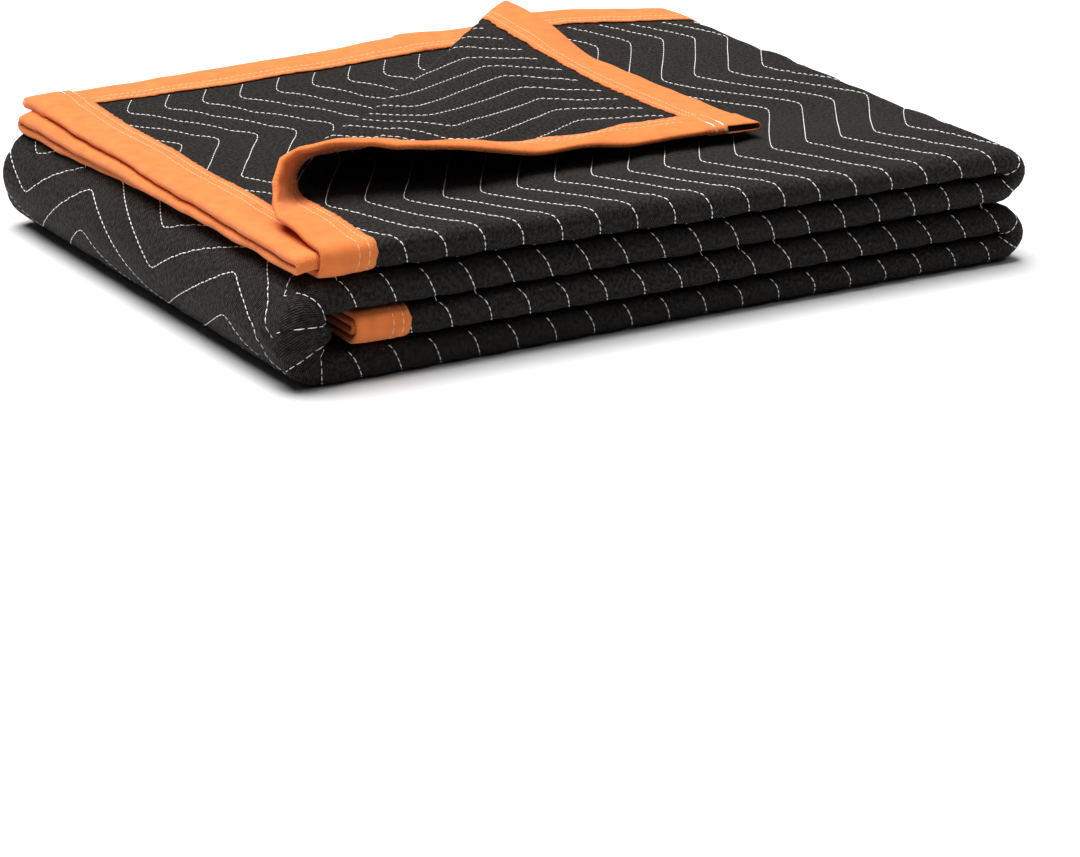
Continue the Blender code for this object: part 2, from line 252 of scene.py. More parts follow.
# ---- soft lamps: name, direction that the light comes from, width in degrees, strength -----------------
SUNS = (
    ("top_lamp", (-0.08, 0.22, 1.0), 50.0, 1.0),
    ("front_lamp", (0.30, -0.55, 0.80), 25.0, 0.07),
)


def run(kind, size, hand=0, stretch=0.0):
    """One stretch of a folded path: a straight of a length, or a half turn of a radius to one hand.

    The outer face of a turn is longer than its middle by the share named stretch.
    """
    length = size if kind == "straight" else math.pi * size
    return {"kind": kind, "size": size, "hand": hand, "length": length, "outer": 1 + stretch}


def path(start, stretches):
    """Stretches with the place along the path, the point and the heading at which each begins."""
    across, up, heading = start
    begin = outer_begin = 0.0
    for stretch in stretches:
        stretch.update(begin=begin, outer_begin=outer_begin, across=across, up=up, heading=heading)
        size, hand = stretch["size"], stretch["hand"]
        if stretch["kind"] == "straight":
            across += size * math.cos(heading)
            up += size * math.sin(heading)
        else:
            across -= 2 * hand * size * math.sin(heading)
            up += 2 * hand * size * math.cos(heading)
            heading += hand * math.pi
        begin += stretch["length"]
        outer_begin += stretch["length"] * stretch["outer"]
    return stretches


ACROSS = path((FREE_BACK, 0.5 * LAYER_PITCH, math.pi), (
    run("straight", FREE_BACK - FRONT_LINE),
    run("turn", TIGHT_CREASE, 1),
    run("straight", BACK_LINE - FRONT_LINE),
    run("turn", TIGHT_CREASE, -1),
    run("straight", BACK_LINE - FRONT_LINE),
    run("turn", OUTER_CREASE, -1),
    run("straight", FREE_BACK - FRONT_LINE),
))
ALONG = path((TOP_END, 3.5 * STRIP, 0.0), (
    run("straight", RIGHT_LINE - TOP_END),
    run("turn", SMALL_TURN, -1, 0.667),
    run("straight", RIGHT_LINE - LEFT_LINE),
    run("turn", LARGE_TURN, 1, 0.478),
    run("straight", RIGHT_LINE - LEFT_LINE),
    run("turn", SMALL_TURN, 1, 0.957),
    run("straight", RIGHT_LINE - TUCKED_END),
))
SHEET_U = ALONG[-1]["begin"] + ALONG[-1]["length"]
SHEET_V = ACROSS[-1]["begin"] + ACROSS[-1]["length"]
INNER_CREASE_START = ACROSS[1]["begin"]
BACK_CREASE_START = ACROSS[3]["begin"]
UNDER_LAYER_START = ACROSS[4]["begin"]
OUTER_CREASE_START = ACROSS[5]["begin"]
TOP_LAYER_START = ACROSS[6]["begin"]
RIGHT_TURN_START = ALONG[1]["begin"]
LOBE_2_START = ALONG[2]["begin"]
LEFT_FOLD_START = ALONG[3]["begin"]
LOBE_4_START = ALONG[4]["begin"]
LOWER_TURN_START = ALONG[5]["begin"]
LOBE_3_START = ALONG[6]["begin"]

# (place along V, shift of the zigzag in half waves): its turns lie elsewhere on the inner and under layers
WAVE_SHIFTS = (
    (INNER_CREASE_START, 0.52),
    (OUTER_CREASE_START - 0.357, 0.29),
    (OUTER_CREASE_START - 0.269, 0.25),
    (OUTER_CREASE_START - 0.167, 0.04),
    (OUTER_CREASE_START - 0.068, -0.14),
    (OUTER_CREASE_START - 0.030, -0.14),
    (OUTER_CREASE_START, 0.20),
    (TOP_LAYER_START, 0.15),
    (TOP_LAYER_START + 0.060, 0.0),
)


# ---- folding -----------------------------------------------------------------------------------------
def follow(stretches, distance):
    """Point and heading after a distance along a path of straights and half turns."""
    stretch = stretches[0]
    for later in stretches[1:]:
        if later["begin"] > distance:
            break
        stretch = later
    part = distance - stretch["begin"]
    across, up, heading = stretch["across"], stretch["up"], stretch["heading"]
    if stretch["kind"] == "straight":
        return across + part * math.cos(heading), up + part * math.sin(heading), heading
    size, hand = stretch["size"], stretch["hand"]
    # to the centre of the turn, and from there to the place
    across -= hand * size * math.sin(heading)
    up += hand * size * math.cos(heading)
    heading += hand * part / size
    return across + hand * size * math.sin(heading), up - hand * size * math.cos(heading), heading


def clamp(value):
    return min(max(value, 0.0), 1.0)


def smooth(value):
    value = clamp(value)
    return value * value * (3 - 2 * value)


def from_table(table, place):
    """The value at a place, smooth between the table's (place, value) pairs and level past its ends."""
    for (place_a, value_a), (place_b, value_b) in zip(table, table[1:]):
        if place <= place_b:
            return value_a + (value_b - value_a) * smooth((place - place_a) / (place_b - place_a))
    return table[-1][1]


def flap_place(u, y):
    """Distance along the line of the turned corner from the block's left side, and distance past it."""
    from_u = u + TOP_END - TURN_POINT[0]
    from_y = y - TURN_POINT[1]
    along = from_u * TURN_DIRECTION[0] + from_y * TURN_DIRECTION[1]
    past = -from_u * TURN_DIRECTION[1] + from_y * TURN_DIRECTION[0]
    return along + TURN_LENGTH / 2, past


def roll_radius(share):
    return ROLL_AT_SIDE + (ROLL_AT_BACK - ROLL_AT_SIDE) * share


def on_roll(past, radius, near_edge, offset):
    """Reach past the fold line and height on the roll, which is creased into facets near the side edge."""
    angle = past / radius
    facet = math.pi / FACETS
    flattened = 1 - math.cos(facet / 2) / math.cos(angle % facet - facet / 2)
    bent = radius * (1 - FACET_DEPTH * near_edge * flattened) - offset
    return bent * math.sin(angle), radius - bent * math.cos(angle)


def on_flap(flat, y, share, near_edge, offset):
    """Height of the part that lies turned over, and how far it has settled on the layer below."""
    radius = roll_radius(share)
    settled = smooth((flat - SETTLE_START) / (SETTLE_AT_SIDE + (SETTLE_AT_BACK - SETTLE_AT_SIDE) * share))
    height = FLAP_REST + (2 * radius - FLAP_REST) * (1 - settled) - offset
    far = FAR_DROOP * (1 - smooth((FREE_BACK - y) / DROOP_REACH))
    near = NEAR_DROOP * near_edge * smooth((flat - DROOP_START) / DROOP_REACH)
    height -= settled * max(far, near)
    height += from_table(EDGE_HEIGHTS, flat) * near_edge
    return height, settled


def turn_corner(u, y, offset):
    """Rolls the top layer's corner over; gives the new u and y, and the height above the layer."""
    along, past = flap_place(u, y)
    share = clamp(along / TURN_LENGTH)
    lift = FLAP_LIFT * (1 - share) * smooth(1 + past / LIFT_REACH) * smooth((y - FRONT_LINE) / LIFT_FRONT)
    if past <= 0:
        return u, y, lift + offset
    radius = roll_radius(share)
    flat = past - math.pi * radius
    near_edge = 1 - smooth(u / DROOP_REACH)
    rolled = smooth(past / (math.pi * radius))
    pull = 0.0
    if flat < 0:
        reach, height = on_roll(past, radius, near_edge, offset)
        u += CURL_SWELL * near_edge * math.sin(past / radius)
    else:
        height, settled = on_flap(flat, y, share, near_edge, offset)
        lift *= 1 - settled
        reach = -flat
        pull = FLAP_PULL * smooth(flat / PULL_LENGTH)
    curl = near_edge * (1 - smooth((flat - CURL_END) / CURL_END))
    height += EDGE_CURL * curl * rolled
    trough = smooth(u / BAND_WIDTH) * (1 - smooth((u - BAND_WIDTH) / DROOP_REACH))
    height -= from_table(TROUGH_DEPTHS, flat) * trough * rolled
    moved = reach - past
    u += pull * TURN_DIRECTION[0] - moved * TURN_DIRECTION[1]
    y += pull * TURN_DIRECTION[1] + moved * TURN_DIRECTION[0]
    return u, y, lift + height


def settle(x, y, z):
    """Lowers and spreads the ideal block as the real one has settled, with its small lumps."""
    a = x / BLOCK_WIDTH
    b = y / BLOCK_DEPTH
    front = HEIGHT_FRONT_LEFT + (HEIGHT_FRONT_RIGHT - HEIGHT_FRONT_LEFT) * a
    back = HEIGHT_BACK_LEFT + (HEIGHT_BACK_RIGHT - HEIGHT_BACK_LEFT) * a
    height = front + (back - front) * b
    height += BACK_CROWN * math.sin(math.pi * clamp(a) ** CROWN_SIDE) * max(b, 0) ** 2
    height -= MIDDLE_SAG * math.sin(math.pi * clamp(a)) * math.sin(math.pi * clamp(b))
    y += LOBE_WANDER * math.sin(WANDER_UP * z / STRIP + WANDER_ALONG * a) * (1 - b)
    share = clamp(z / BLOCK_HEIGHT)
    z = (z - LAYER_GAP / 2) * height / BLOCK_HEIGHT
    lump = noise.noise_vector((x * LUMPS_A_METRE, y * LUMPS_A_METRE, z * LUMPS_A_METRE_UP))
    small_place = (x * SMALL_LUMPS_A_METRE + 7, y * SMALL_LUMPS_A_METRE, z * SMALL_LUMPS_A_METRE_UP)
    small = noise.noise_vector(small_place)
    x += LUMP_SIZE * lump.x * share
    y += LUMP_SIZE * lump.y * share
    z += (LUMP_HEIGHT * lump.z + SMALL_LUMP_HEIGHT * small.z) * share
    return Vector((x - CENTRE[0], y - CENTRE[1], z))


def wander(u, v):
    """Small waves of the sheet's free edges, in its own plane."""
    at_edge = 1 - smooth(min(u, SHEET_U - u) / WANDER_REACH)
    u += EDGE_WANDER * noise.noise((v * WANDERS_A_METRE, 1.0, 0.0)) * at_edge
    at_edge = 1 - smooth(min(v, SHEET_V - v) / WANDER_REACH)
    v += EDGE_WANDER * noise.noise((u * WANDERS_A_METRE, 2.0, 0.0)) * at_edge
    return u, v


def shift_end(u, v, x, z, strip_up):
    """Moves the layers' left ends along the block, and lets them droop past the fold under them."""
    x += smooth(1 - u / END_SHIFT_FADE) * from_table(END_SHIFTS, v / SHEET_V)
    over = max(LEFT_LINE - x, 0.0)
    depth = clamp(0.5 - strip_up / STRIP)
    droop = HIGH_LAYER_DROOP + (LOW_LAYER_DROOP - HIGH_LAYER_DROOP) * depth
    return x, z - END_DROOP * (over / LEFT_LINE) ** 2 * droop


def sheet_point(u, v, offset):
    """Folded place of a point of the flat sheet, offset towards the face that shows on top."""
    u, v = wander(u, v)
    y, strip_up, heading = follow(ACROSS, v)
    in_left_fold = LEFT_FOLD_START < u < LOBE_4_START
    if in_left_fold:
        turned = (u - LEFT_FOLD_START) / LARGE_TURN
        uneven = 3 * noise.noise((turned * 2, y * GATHERS_A_METRE, 1.0))
        ridges = math.sin(GATHER_WAVES * turned + uneven)
        offset += GATHERS * ridges * math.sin(turned) * smooth(1 - y / GATHER_REACH)
    y -= offset * math.sin(heading)
    if v > TOP_LAYER_START:
        u, y, height = turn_corner(u, y, offset)
        strip_up += height
    else:
        strip_up += offset * math.cos(heading)
    x, z, heading = follow(ALONG, u)
    x -= strip_up * math.sin(heading)
    z += strip_up * math.cos(heading)
    if u < END_SHIFT_FADE and z > BLOCK_HEIGHT - 2 * STRIP:
        x, z = shift_end(u, v, x, z, strip_up)
    if in_left_fold:
        inner = clamp(0.5 + strip_up / STRIP)
        x += PINCH * math.sin(turned) ** 2 * inner * smooth(1 - y / PINCH_REACH)
    return settle(x, y, z)


# ---- the sheet as cut --------------------------------------------------------------------------------
def zigzag(v):
    """Sideways swing of the quilting lines at a place along V, with rounded turns at every half wave."""
    waves = (v - TOP_LAYER_START + FRONT_LINE - FIRST_TURN) / HALF_WAVE
    waves += from_table(WAVE_SHIFTS, v)
    swing = SWING * 0.5 * math.asin(ROUNDED * math.cos(math.pi * waves)) / math.asin(ROUNDED)
    return swing + INNER_LINE_SHIFT * (1 - smooth((v - INNER_CREASE_START) / HALF_WAVE))


def outer_length(u):
    """Length along the cloth's outer face up to a place along U."""
    stretch = [stretch for stretch in ALONG if stretch is ALONG[0] or stretch["begin"] <= u][-1]
    return stretch["outer_begin"] + (u - stretch["begin"]) * stretch["outer"]


def place_at(length):
    """The place along U that lies a length along the cloth's outer face."""
    stretch = [stretch for stretch in ALONG if stretch is ALONG[0] or stretch["outer_begin"] <= length][-1]
    return stretch["begin"] + (length - stretch["outer_begin"]) / stretch["outer"]


def line_place(number, v):
    """The place along U of a quilting line, at a place along V."""
    return place_at((number + FIRST_LINE) * LINE_PITCH + zigzag(v))


def edge_distance(u, v):
    return min(u, SHEET_U - u, v, SHEET_V - v)


def quilting_share(u, v):
    """How far the columns of the mesh follow the zigzag: wholly in the middle of the top layer."""
    room_u = min(u - BAND_WIDTH, LOBE_2_START - SMALL_TURN * math.pi - u)
    room_v = min(v - OUTER_CREASE_START, SHEET_V - BAND_WIDTH - v)
    return smooth(room_u / ZIGZAG_FADE) * smooth(room_v / ZIGZAG_FADE)


def half_cloth(u, v, puff):
    """Half the cloth's thickness: thin under the tape, and drawn in along the quilting lines."""
    rise = smooth((edge_distance(u, v) - BAND_WIDTH - SNAP) / BAND_RISE)
    half = CLOTH / 2 - BAND_REACH * (1 - rise)
    lines = (outer_length(u) - zigzag(v)) / LINE_PITCH - FIRST_LINE
    away = abs(lines - round(lines)) * LINE_PITCH
    seam = math.exp(-(away / SEAM_WIDTH) ** 2)
    drawn = SEAM_SHARE * seam + (1 - SEAM_SHARE) * (1 - smooth(away / (0.5 * LINE_PITCH)))
    return half - puff * drawn * rise


def spaced(begin, end, step):
    """Even places from begin up to, but without, end, about a step apart."""
    count = max(1, round((end - begin) / step))
    return [begin + (end - begin) * number / count for number in range(count)]


def flat_grid(across, down):
    """A flat grid with its columns at the places across and its rows at the places down."""
    bm = bmesh.new()
    bmesh.ops.create_grid(bm, x_segments=len(across) - 1, y_segments=len(down) - 1, size=0.5)
    for vert in bm.verts:
        column = round((vert.co.x + 0.5) * (len(across) - 1))
        row = round((vert.co.y + 0.5) * (len(down) - 1))
        vert.co = (across[column], down[row], 0.0)
    return bm


def slab(bm):
    """Makes the flat sheet a closed slab from -1 to 1: a point's height says on which face it lies."""
    bmesh.ops.solidify(bm, geom=bm.faces[:] + bm.edges[:] + bm.verts[:], thickness=1.0)
    middle = 0.5 * (min(vert.co.z for vert in bm.verts) + max(vert.co.z for vert in bm.verts))
    for vert in bm.verts:
        vert.co.z = 2 * (vert.co.z - middle)
    bmesh.ops.recalc_face_normals(bm, faces=bm.faces[:])


def mark_flat_places(bm):
    """Keeps each point's place on the flat sheet, in metres, as the piece's UV map."""
    layer = bm.loops.layers.uv.new("sheet")
    for face in bm.faces:
        for loop in face.loops:
            loop[layer].uv = (loop.vert.co.x, loop.vert.co.y)


def piece_from(bm, name, material):
    """The finished piece of a mesh, with its material and what the frame has to know of it."""
    mesh = bpy.data.meshes.new(name)
    bm.to_mesh(mesh)
    bm.free()
    mesh.shade_smooth()
    mesh.materials.append(material)
    piece = bpy.data.objects.new(name, mesh)
    bpy.context.collection.objects.link(piece)
    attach(piece, "root")
    return piece


# ---- materials ---------------------------------------------------------------------------------------
class Wire:
    """A value in a material: arithmetic on it adds Math nodes."""

    def __init__(self, shade, socket):
        self.shade = shade
        self.socket = socket

    def math(self, operation, *values):
        return self.shade.node("ShaderNodeMath", {"operation": operation}, values)

    def __add__(self, other):
        return self.math("ADD", self, other)

    def __radd__(self, other):
        return self.math("ADD", other, self)

    def __sub__(self, other):
        return self.math("SUBTRACT", self, other)

    def __rsub__(self, other):
        return self.math("SUBTRACT", other, self)

    def __mul__(self, other):
        return self.math("MULTIPLY", self, other)

    def __rmul__(self, other):
        return self.math("MULTIPLY", other, self)

    def sine(self):
        return self.math("SINE", self)

    def above(self, low, high):
        """0 below low, 1 above high, and smooth between them."""
        settings = {"interpolation_type": "SMOOTHSTEP"}
        return self.shade.node("ShaderNodeMapRange", settings, {0: self, 1: low, 2: high})


class Shade:
    """A material with one Principled shader, and one method that adds any other node."""

    def __init__(self, name, roughness):
        self.material = bpy.data.materials.new(name)
        self.material.use_nodes = True
        self.tree = self.material.node_tree
        self.shader = self.tree.nodes["Principled BSDF"]
        self.shader.inputs["Roughness"].default_value = roughness

    def node(self, kind, settings=None, inputs=(), output=0):
        added = self.tree.nodes.new(kind)
        for name, value in (settings or {}).items():
            setattr(added, name, value)
        pairs = inputs.items() if isinstance(inputs, dict) else enumerate(inputs)
        for name, value in pairs:
            self.join(added.inputs[name], value)
        return Wire(self, added.outputs[output])

    def join(self, socket, value):
        if isinstance(value, Wire):
            self.tree.links.new(value.socket, socket)
        else:
            socket.default_value = value

    def mix(self, share, colour_a, colour_b):
        """One colour going over to another."""
        colours = [value if isinstance(value, Wire) else (*value, 1.0) for value in (colour_a, colour_b)]
        inputs = {"Factor": share, 6: colours[0], 7: colours[1]}
        return self.node("ShaderNodeMix", {"data_type": "RGBA"}, inputs, 2)

    def sheet_places(self):
        """The place on the flat sheet, in metres, as two values."""
        places = self.node("ShaderNodeUVMap", {"uv_map": "sheet"})
        return places, *(self.node("ShaderNodeSeparateXYZ", None, [places], output) for output in (0, 1))

    def noise(self, vector, scale, detail=2.0):
        return self.node("ShaderNodeTexNoise", None, {"Vector": vector, "Scale": scale, "Detail": detail})

    def bump(self, height, distance, strength=1.0):
        inputs = {"Height": height, "Distance": distance, "Strength": strength}
        self.join(self.shader.inputs["Normal"], self.node("ShaderNodeBump", None, inputs))


def scaled(colour, *shares):
    """A colour with its three values scaled, by one share or by one each, and never above 1."""
    shares = shares * 3 if len(shares) == 1 else shares
    return tuple(min(1.0, value * share) for value, share in zip(colour, shares))


def twill(shade, pitch):
    """Height of a twill weave from 0 to 1: slanting ribs broken into single threads."""
    places, across, down = shade.sheet_places()
    ribs = ((across + down) * (math.tau / pitch)).sine() * 0.5 + 0.5
    threads = ((across - down * 0.35) * (math.tau / (pitch * 0.8))).sine() * 0.5 + 0.5
    return places, ribs * (threads * 0.6 + 0.4)


def cloth_shade(look):
    shade = Shade("black_twill_cloth", 0.8)
    places, weave = twill(shade, look.weave_pitch)
    patches = shade.noise(places, CLOTH_PATCHES, 3.0)
    speckle = shade.noise(places, CLOTH_SPECKLES, 3.0).above(0.35, 0.65)
    dark = scaled(look.cloth_colour, 0.20)
    light = scaled(look.cloth_colour, 5.5)
    colour = shade.mix(weave * (speckle * 0.9 + 0.1), dark, light)
    worn = scaled(look.cloth_colour, 1.6)
    colour = shade.mix(patches.above(0.45, 0.75) * 0.35, colour, worn)
    lint = shade.noise(places, CLOTH_LINT, 0.0).above(0.84, 0.87)
    colour = shade.mix(lint * 0.45, colour, (0.20, 0.19, 0.18))
    shade.join(shade.shader.inputs["Base Color"], colour)
    shade.join(shade.shader.inputs["Roughness"], 0.95 - weave * 0.45 - speckle * 0.15)
    shade.shader.inputs["Sheen Weight"].default_value = 0.03
    shade.shader.inputs["Sheen Roughness"].default_value = 0.45
    shade.shader.inputs["Specular IOR Level"].default_value = 0.22
    shade.bump(weave + speckle * 0.7 + patches * 1.2, look.weave_height)
    return shade.material


def tape_shade(look):
    shade = Shade("orange_tape_cloth", 0.75)
    places, weave = twill(shade, look.weave_pitch * 0.9)
    patches = shade.noise(places, TAPE_PATCHES, 4.0)
    grain = shade.noise(places, TAPE_GRAIN, 1.0)
    deep = scaled(look.tape_colour, 0.80, 0.66, 0.55)
    colour = shade.mix(patches.above(0.35, 0.75) * 0.55, look.tape_colour, deep)
    pale = scaled(look.tape_colour, 1.08, 1.25, 1.5)
    colour = shade.mix(weave * grain * 0.55, colour, pale)
    shade.join(shade.shader.inputs["Base Color"], colour)
    shade.join(shade.shader.inputs["Roughness"], 0.86 - weave * 0.20)
    shade.shader.inputs["Sheen Weight"].default_value = 0.15
    crumples = shade.noise(places, TAPE_CRUMPLES, 2.0)
    shade.bump(weave * 0.8 + grain * 0.6 + patches * 1.6 + crumples * 1.8, look.weave_height)
    return shade.material


def thread_shade(name, thread_colour):
    shade = Shade(name, 0.6)
    places = shade.node("ShaderNodeTexCoord", None, (), 3)
    fibre = shade.noise(places, FIBRES, 1.0)
    colour = shade.mix(fibre, thread_colour, scaled(thread_colour, 0.85))
    shade.join(shade.shader.inputs["Base Color"], colour)
    return shade.material


def floor_shade(look):
    shade = Shade("floor_paint", 0.7)
    places = shade.node("ShaderNodeTexCoord", None, (), 3)
    cloudy = shade.noise(places, FLOOR_CLOUDS, 2.0)
    shade.join(shade.shader.inputs["Roughness"], cloudy * 0.1 + 0.65)
    shade.shader.inputs["Base Color"].default_value = (*look.floor_colour, 1.0)
    return shade.material


# ---- pieces ------------------------------------------------------------------------------------------
def steps_between(begin, marks):
    """Places from begin on, spaced by a step up to each mark; marks are (end, step) pairs."""
    places = []
    for end, step in marks:
        places += spaced(begin, end, step)
        begin = end
    return places + [begin]


def cloth_columns():
    """Fine where the cloth bends, and in cells of a sixth of a quilting line's pitch on the top."""
    first = math.ceil((BAND_WIDTH / LINE_PITCH - FIRST_LINE) * LINE_CELLS) + 1
    last = math.floor((RIGHT_TURN_START / LINE_PITCH - FIRST_LINE) * LINE_CELLS)
    places = spaced(0.0, BAND_WIDTH, EDGE_STEP) + [BAND_WIDTH]
    places += [(number / LINE_CELLS + FIRST_LINE) * LINE_PITCH for number in range(first, last)]
    return places + steps_between(RIGHT_TURN_START, (
        (LOBE_2_START, END_TURN_STEP),
        (LEFT_FOLD_START - LEFT_TURN_MARGIN, LINE_PITCH),
        (LOBE_4_START + LEFT_TURN_MARGIN, LEFT_TURN_STEP),
        (LOWER_TURN_START, LINE_PITCH),
        (LOBE_3_START, END_TURN_STEP),
        (SHEET_U - BAND_WIDTH, LINE_PITCH),
        (SHEET_U, EDGE_STEP),
    ))


def cloth_rows():
    return steps_between(0.0, (
        (BAND_WIDTH, EDGE_STEP),
        (INNER_CREASE_START, HIDDEN_STEP),
        (ACROSS[2]["begin"], HIDDEN_CREASE_STEP),
        (BACK_CREASE_START, HIDDEN_STEP),
        (UNDER_LAYER_START, BACK_CREASE_STEP),
        (OUTER_CREASE_START, UNDER_STEP),
        (TOP_LAYER_START, FRONT_CREASE_STEP),
        (SHEET_V - BAND_WIDTH, TOP_STEP),
        (SHEET_V, EDGE_STEP),
    ))


def on_front_crease(v):
    return OUTER_CREASE_START - FRONT_CREASE_MARGIN < v < TOP_LAYER_START + FRONT_CREASE_MARGIN


def add_crease_columns(bm):
    """More columns where the long lobes show: along their front creases."""
    wide = []
    for edge in bm.edges:
        a, b = edge.verts
        if abs(a.co.x - b.co.x) > 0.8 * LINE_PITCH and on_front_crease(a.co.y) and on_front_crease(b.co.y):
            wide.append(edge)
    bmesh.ops.subdivide_edges(bm, edges=wide, cuts=CREASE_CUTS, use_grid_fill=False)


def add_roll_cells(bm):
    """Smaller cells along the tight roll of the turned corner."""
    bent = set()
    for face in bm.faces:
        middle = face.calc_center_median()
        if middle.y < TOP_LAYER_START or middle.x > TURN_LENGTH:
            continue
        along, past = flap_place(middle.x, middle.y - TOP_LAYER_START + FRONT_LINE)
        radius = roll_radius(clamp(along / TURN_LENGTH))
        if -ROLL_MARGIN < past < math.pi * radius + ROLL_MARGIN:
            bent.update(face.edges)
    bmesh.ops.subdivide_edges(bm, edges=list(bent), cuts=1, use_grid_fill=True)


def make_cloth(look):
    bm = flat_grid(cloth_columns(), cloth_rows())
    add_crease_columns(bm)
    for vert in bm.verts:
        vert.co.x += zigzag(vert.co.y) * quilting_share(vert.co.x, vert.co.y)
    add_roll_cells(bm)
    slab(bm)
    mark_flat_places(bm)
    for vert in bm.verts:
        u, v, side = vert.co
        vert.co = sheet_point(u, v, side * half_cloth(u, v, look.quilting_depth))
    return piece_from(bm, "quilted_cloth", cloth_shade(look))


def tape_columns():
    band = list(TAPE_PLACES)
    places = band + spaced(band[-1], TAPE_JOINT, TAPE_STEP)[1:]
    places += spaced(TAPE_JOINT + JOINT_GAP, LOBE_2_START, TAPE_STEP)
    places += spaced(LOBE_2_START, SHEET_U - band[-1], TAPE_HIDDEN_COLUMN)
    return places + [SHEET_U - place for place in reversed(band)]


def tape_rows():
    band = list(TAPE_PLACES)
    places = band + spaced(band[-1], INNER_CREASE_START, TAPE_STEP)[1:]
    for stretch in ACROSS[1:-1]:
        step = TAPE_CREASE_STEP if stretch["kind"] == "turn" else TAPE_HIDDEN_ROW
        places += spaced(stretch["begin"], stretch["begin"] + stretch["length"], step)
    places += spaced(TOP_LAYER_START, SHEET_V - band[-1], TAPE_STEP)
    return places + [SHEET_V - place for place in reversed(band)]


def overlap(u, v):
    """How far one length of tape lies on another: at two corners, and past the back band's joint."""
    on_side, on_back, on_far = u <= BAND_WIDTH, v <= BAND_WIDTH, SHEET_V - v <= BAND_WIDTH
    share = 0.0
    if on_side and on_back:
        share = smooth((BAND_WIDTH - v) / OVERLAP_RAMP)
    if on_side and on_far:
        share = smooth((BAND_WIDTH - u) / OVERLAP_RAMP)
    if on_back and u > TAPE_JOINT:
        share = 1 - smooth((u - TAPE_JOINT) / JOINT_FADE)
    return share * TAPE_OVERLAP


def tape_point(u, v, side):
    """Folded place of a point of the tape: on one face, on the other, or on the nose round the edge."""
    edge = edge_distance(u, v)
    flat = abs(side)
    drawn = sum(math.exp(-((edge - row) / ROW_WIDTH) ** 2) for row in TAPE_ROWS)
    full = smooth(edge / NOSE_REACH)
    ripple = noise.noise((u * RIPPLES_A_METRE, v * RIPPLES_A_METRE, side * 5)) * RIPPLE
    ripple *= smooth(edge / RIPPLE_REACH)
    reach = BAND_REACH * (0.75 + 0.25 * full) + TAPE_SWELL * full - ROW_DEPTH * drawn
    reach = reach + ripple + overlap(u, v)
    out = BAND_REACH * (1.0 - 0.5 * flat) + NOSE_SWELL * (1 - flat) + overlap(u, v)
    if edge < SNAP:
        u += out if u > SHEET_U - SNAP else -out if u < SNAP else 0.0
        v += out if v > SHEET_V - SNAP else -out if v < SNAP else 0.0
    elif edge > BAND_WIDTH - SNAP:
        ragged = noise.noise((u * FRAYS_A_METRE, v * FRAYS_A_METRE, 3.0)) * FRAY
        u += ragged if u < SHEET_U / 2 else -ragged
        v += ragged if v < SHEET_V / 2 else -ragged
        reach *= 0.75
    return sheet_point(u, v, side * (half_cloth(u, v, 0.0) + reach) if flat > 0.5 else 0.0)


def make_tape(look):
    """A shell over the cloth's edge, without the sheet's middle, the inner walls and the open end."""
    bm = flat_grid(tape_columns(), tape_rows())
    inside = [face for face in bm.faces if wall_inside(face, 0.0)]
    bmesh.ops.delete(bm, geom=inside, context="FACES")
    slab(bm)
    upright = [face for face in bm.faces if abs(face.normal.z) < 0.5]
    walls = [face for face in upright if wall_inside(face, SNAP) or open_end(face)]
    bmesh.ops.delete(bm, geom=walls, context="FACES_ONLY")
    tall = [edge for edge in bm.edges if abs(edge.verts[0].co.z - edge.verts[1].co.z) > 1.0]
    bmesh.ops.subdivide_edges(bm, edges=tall, cuts=1)
    mark_flat_places(bm)
    for vert in bm.verts:
        u, v, side = vert.co
        vert.co = tape_point(u, v, side)
    piece = piece_from(bm, "edge_tape", tape_shade(look))
    wall = piece.modifiers.new("thickness", "SOLIDIFY")
    wall.thickness = TAPE_WALL
    wall.offset = -1.0
    return piece


def wall_inside(face, margin):
    """Whether a face of the flat sheet lies inside the tape, past a margin."""
    return edge_distance(*face.calc_center_median()[:2]) > BAND_WIDTH - margin


def open_end(face):
    """The tape's open end, at the tip of the turned corner."""
    middle = face.calc_center_median()
    return middle.x < SNAP and SHEET_V - middle.y < OPEN_END


class Stitcher:
    """Lays short stitches along lines of the flat sheet, on the face of the folded cloth."""

    def __init__(self, name, thickness):
        self.curve = bpy.data.curves.new(name, "CURVE")
        self.curve.dimensions = "3D"
        self.curve.bevel_depth = thickness / 2
        self.curve.bevel_resolution = 0
        self.curve.use_fill_caps = True
        self.name = name

    def lay(self, points, normals):
        """One stitch: both ends dip into the cloth and the middle stands on it."""
        sunk = STITCH_VARIETY * noise.noise(points[0] * VARIETIES_A_METRE)
        spline = self.curve.splines.new("POLY")
        spline.points.add(len(points) - 1)
        for number, (place, normal) in enumerate(zip(points, normals)):
            at_end = number in (0, len(points) - 1)
            lift = STITCH_DIP if at_end else STITCH_RISE + sunk
            spline.points[number].co = (*(place + normal * lift * self.curve.bevel_depth), 1.0)
            spline.points[number].radius = STITCH_TAPER if at_end else 1.0

    def finish(self, material):
        """Makes one mesh of all the stitches."""
        holder = bpy.data.objects.new(self.name, self.curve)
        bpy.context.collection.objects.link(holder)
        bpy.context.view_layer.update()
        mesh = bpy.data.meshes.new_from_object(holder.evaluated_get(bpy.context.evaluated_depsgraph_get()))
        bpy.data.objects.remove(holder)
        mesh.name = self.name
        bm = bmesh.new()
        bm.from_mesh(mesh)
        bmesh.ops.remove_doubles(bm, verts=bm.verts[:], dist=0.00001)
        bmesh.ops.recalc_face_normals(bm, faces=bm.faces[:])
        bpy.data.meshes.remove(mesh)
        return piece_from(bm, self.name, material)


def faces_of(piece):
    bpy.context.view_layer.update()
    return BVHTree.FromObject(piece, bpy.context.evaluated_depsgraph_get())


